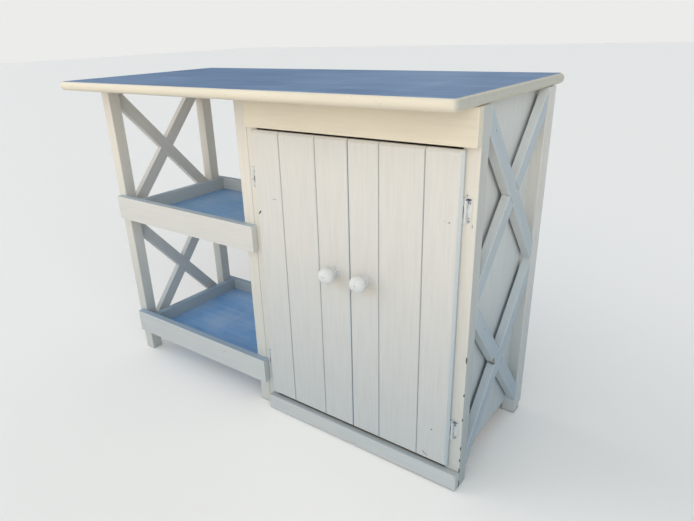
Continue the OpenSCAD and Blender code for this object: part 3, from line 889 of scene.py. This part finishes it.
@dataclass
class Door:
    """One boarded door with its knob, ledges and pair of hinges."""

    side: Side
    boards: tuple[str, ...] = ("outer_board", "middle_board", "inner_board")
    body: str = field(init=False)

    def __post_init__(self) -> None:
        """Names the body that the door's own pieces ride on."""
        self.body = f"{self.side.value[0]}_door"

    def build(self) -> None:
        """Paints the door and sets the screws of its hinges and ledges."""
        name = self.side.value[0]
        starts = sorted(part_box(f"{name}_door_{board}")[0].x for board in self.boards)
        # The doors' +X edges get the painted shade of the right end
        boards = PaintedTimber(f"cream_{name}_door", Grain.UPRIGHT, marks=self.scratches() + self.knob_shadow_and_hand_marks(),
                               arris_wear=0.0, grooves=tuple(starts[1:]), stains=(RIGHT_FACES_PAINTED_SHADE,))
        dress(boards, *(f"{name}_door_{board}" for board in self.boards), soften=0.0006)
        dress(BareTimber("bare_ledges", Grain.ALONG), f"{name}_door_ledges", soften=0.0015)
        knob = PaintedTimber(f"cream_{name}_knob", Grain.BACK, paint=(0.72, 0.69, 0.65), marks=self.knob_marks(),
                             arris_wear=0.0)
        dress(knob, f"{name}_knob")
        dress(Plain("knob_screw_steel", (0.5, 0.49, 0.47), metal=1.0, rough=0.35), f"{name}_knob_screw")
        hinge = PaintedHinge(f"painted_hinge_{name}", marks=self.hinge_marks())
        dress(hinge, f"{name}_hinge_frame_leaves", f"{name}_hinge_door_leaves", f"{name}_hinge_pins")
        self.leaf_screws().build()
        self.ledge_screws().build()

    def scratches(self) -> tuple[Mark, ...]:
        """Scratches and specks, on the board next to the hinges."""
        board = f"{self.side.value[0]}_door_outer_board"
        if self.side is Side.LEFT:
            return (
                Mark(on_front(board, 0.011, 0.540), (0.007, 0.002, 0.0025), Wear.DIRT, (0.0, -48.0, 0.0)),
                Mark(on_front(board, 0.063, 0.581), (0.011, 0.002, 0.0015), Wear.SCUFF, strength=0.5),
                Mark(on_front(board, 0.060, 0.615), (0.020, 0.002, 0.016), Wear.FILLER, strength=0.10),
            )
        return (
            Mark(on_front(board, -0.042, 0.093), (0.002, 0.002, 0.002), Wear.DIRT),
            Mark(on_front(board, -0.058, 0.017), (0.011, 0.002, 0.0015), Wear.DIRT, (0.0, 28.0, 0.0), 0.8),
            Mark(on_front(board, -0.023, 0.600), (0.0025, 0.002, 0.0015), Wear.SCUFF, strength=0.9),
            Mark(on_front(board, -0.032, 0.602), (0.0015, 0.002, 0.001), Wear.SCUFF, strength=0.7),
        )

    def knob_shadow_and_hand_marks(self) -> tuple[Mark, ...]:
        """A faint warm patch beside and below the knob: painted shadow of the knob, partly the stain that hands
        leave.
        """
        low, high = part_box(f"{self.side.value[0]}_knob")
        x, z = (low.x + high.x) / 2, (low.z + high.z) / 2
        return (Mark((x + 0.016, high.y, z - 0.022), (0.040, 0.020, 0.034), Wear.KNOB_SHADOW_AND_HANDS, strength=0.30, solid=0.0),)

    def hinge_marks(self) -> tuple[Mark, ...]:
        """Bare steel and rust on each leaf: at the top and foot on the right, along the middle on the left; on the
        right also a dark line beside the knuckle, painted shade of the gap with some rust.
        """
        low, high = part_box(f"{self.side.value[0]}_hinge_frame_leaves")
        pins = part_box(f"{self.side.value[0]}_hinge_pins")
        pin, depth = (pins[0].x + pins[1].x) / 2, (pins[0].y + pins[1].y) / 2
        out = -self.side.value[1]
        marks = []
        for middle in (low.z + 0.025, high.z - 0.025):
            if self.side is Side.LEFT:
                marks += [
                    Mark((pin + out * 0.002, depth, middle - 0.003), (0.004, 0.012, 0.013), Wear.WOOD),
                    Mark((pin - out * 0.001, depth, middle + 0.015), (0.002, 0.012, 0.006), Wear.RUST, strength=0.5),
                ]
                continue
            marks += [
                Mark((pin + out * 0.0065, depth, middle + 0.0225), (0.0065, 0.012, 0.0025), Wear.STEEL),
                Mark((pin + out * 0.006, depth, middle + 0.018), (0.002, 0.012, 0.007), Wear.STEEL),
                Mark((pin + out * 0.007, depth, middle - 0.0205), (0.004, 0.012, 0.004), Wear.RUST, strength=0.7),
                # Painted shade of the gap beside the knuckle, in rust colour, partly real rust
                Mark((pin - out * 0.003, depth, middle - 0.002), (0.001, 0.012, 0.016), Wear.RUST, strength=0.6),
            ]
        return tuple(marks)

    def knob_marks(self) -> tuple[Mark, ...]:
        """Small chips on the ball of the knob."""
        low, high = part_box(f"{self.side.value[0]}_knob")
        x, z = (low.x + high.x) / 2, (low.z + high.z) / 2
        return (
            Mark((x + 0.004, low.y, z + 0.003), (0.0016, 0.002, 0.0022), Wear.SCUFF, strength=0.7),
            Mark((x + 0.012, low.y + 0.008, z - 0.002), (0.002, 0.002, 0.0028), Wear.DIRT, strength=0.7),
        )

    def leaf_screws(self) -> Fixings:
        """Two slotted screws in each leaf that lies on the frame."""
        low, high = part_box(f"{self.side.value[0]}_hinge_frame_leaves")
        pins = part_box(f"{self.side.value[0]}_hinge_pins")
        pin_x = (pins[0].x + pins[1].x) / 2
        x = pin_x - self.side.value[1] * 0.0085
        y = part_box("right_front_post")[0].y - 0.0014
        places = []
        for middle in (low.z + 0.025, high.z - 0.025):
            for z in (middle - 0.016, middle + 0.016):
                places.append(Fixing((x, y, z), (0.0, -1.0, 0.0)))
        hinge = PaintedHinge("painted_screws", 0.56)
        return Fixings(f"{self.side.value[0]}_hinge_screws", "frame", "steel", Head.SCREW, hinge, places,
                       0.0027, 0.0007)

    def ledge_screws(self) -> Fixings:
        """Screws through the ledges into the boards, seen when the door is open."""
        low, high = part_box(f"{self.side.value[0]}_door_ledges")
        places = []
        for z in (low.z + 0.02, low.z + 0.05, high.z - 0.05, high.z - 0.02):
            for board in self.boards:
                b_low, b_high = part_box(f"{self.side.value[0]}_door_{board}")
                x = min(max((b_low.x + b_high.x) / 2, low.x + 0.02), high.x - 0.02)
                places.append(Fixing((x, high.y, z), (0.0, 1.0, 0.0)))
        steel = Plain("zinc_steel", (0.62, 0.58, 0.45), metal=1.0, rough=0.32)
        return Fixings(f"{self.side.value[0]}_ledge_screws", self.body, "steel", Head.SCREW, steel, places, 0.0036,
                       0.0006)


# ---------------------------------------------------------------- studio


@dataclass(frozen=True)
class SoftLight:
    """One broad, even light from a given direction."""

    name: str
    comes_from: Point
    spread: float
    strength: float
    colour: Tint

    def build(self) -> None:
        """Makes the light and turns it away from where it comes from."""
        lamp = bpy.data.lights.new(self.name, "SUN")
        lamp.angle = math.radians(self.spread)
        lamp.energy = self.strength
        lamp.color = self.colour
        holder = bpy.data.objects.new(self.name, lamp)
        holder.rotation_euler = (-Vector(self.comes_from)).to_track_quat("-Z", "Y").to_euler()
        bpy.context.scene.collection.objects.link(holder)


@dataclass
class Studio:
    """Pale floor, soft lights and the camera."""

    eye: Point = (1.034, -1.170, 1.009)
    yaw: float = 37.8
    pitch: float = -23.5
    roll: float = -2.0
    lens: float = 29.8
    shift: tuple[float, float] = (0.018, 0.027)
    floor_reach: float = 30.0
    fill: Tint = (0.12, 0.13, 0.15)
    backdrop: Tint = (0.84, 0.84, 0.83)
    lights: tuple[SoftLight, ...] = (
        SoftLight("front", (-0.15, -1.0, 0.6), 60.0, 0.45, (1.0, 1.0, 1.0)),
        SoftLight("low_front", (0.0, -1.0, 0.12), 60.0, 0.85, (1.0, 0.88, 0.70)),
        SoftLight("above", (0.0, 0.0, 1.0), 120.0, 0.92, (0.92, 0.98, 1.0)),
        SoftLight("front_right", (1.0, -0.9, 0.5), 60.0, 1.50, (0.86, 0.95, 1.0)),
        SoftLight("left", (-1.0, -0.3, 0.4), 60.0, 1.60, (1.0, 0.98, 0.96)),
        SoftLight("behind", (0.1, 1.0, 0.45), 80.0, 0.30, (0.92, 0.96, 1.0)),
    )

    def build(self) -> None:
        """Sets the floor, the surroundings, the lights and the camera."""
        mesh = bpy.data.meshes.new("floor")
        far = self.floor_reach
        mesh.from_pydata([(-far, -far, 0), (far, -far, 0), (far, far, 0), (-far, far, 0)], [], [(0, 1, 2, 3)])
        ground = bpy.data.objects.new("floor", mesh)
        bpy.context.scene.collection.objects.link(ground)
        mesh.materials.append(Plain("pale_floor", (0.90, 0.885, 0.86), rough=0.7).material())
        self.surroundings()
        for light in self.lights:
            light.build()
        bpy.context.scene.view_settings.view_transform = "Standard"
        self.camera()

    def surroundings(self) -> None:
        """Even fill light, in front of a pale backdrop."""
        world = bpy.data.worlds.new("soft_room")
        world.use_nodes = True
        world.node_tree.nodes.clear()
        graph = Graph(world.node_tree)
        fill = graph.node("ShaderNodeBackground", None, {"Color": (*self.fill, 1.0)})
        backdrop = graph.node("ShaderNodeBackground", None, {"Color": (*self.backdrop, 1.0)})
        seen = graph.node("ShaderNodeLightPath", output="Is Camera Ray")
        room = graph.node("ShaderNodeMixShader", None, {0: seen, 1: fill, 2: backdrop})
        out = world.node_tree.nodes.new("ShaderNodeOutputWorld")
        world.node_tree.links.new(room.socket, out.inputs["Surface"])
        bpy.context.scene.world = world

    def camera(self) -> None:
        """Stands the camera in front of the bench's right corner."""
        data = bpy.data.cameras.new("camera")
        data.sensor_width = 36.0
        data.lens = self.lens
        data.shift_x, data.shift_y = self.shift
        data.clip_end = 100.0
        holder = bpy.data.objects.new("camera", data)
        turn = (Matrix.Rotation(math.radians(self.yaw), 4, "Z")
                @ Matrix.Rotation(math.radians(90.0 + self.pitch), 4, "X")
                @ Matrix.Rotation(math.radians(self.roll), 4, "Z"))
        holder.matrix_world = Matrix.Translation(self.eye) @ turn
        bpy.context.scene.collection.objects.link(holder)
        bpy.context.scene.camera = holder


def main() -> None:
    """Builds the bench in order, then the studio round it."""
    logging.basicConfig(level=logging.INFO, format="%(name)s: %(message)s")
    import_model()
    parts = [Worktop(), Frame(), Tray("upper"), Tray("lower"), Cupboard(), Door(Side.LEFT),
             Door(Side.RIGHT)]
    for part in parts:
        part.build()
        log.info("%s built", type(part).__name__)
    Studio().build()


if __name__ == "__main__":
    main()
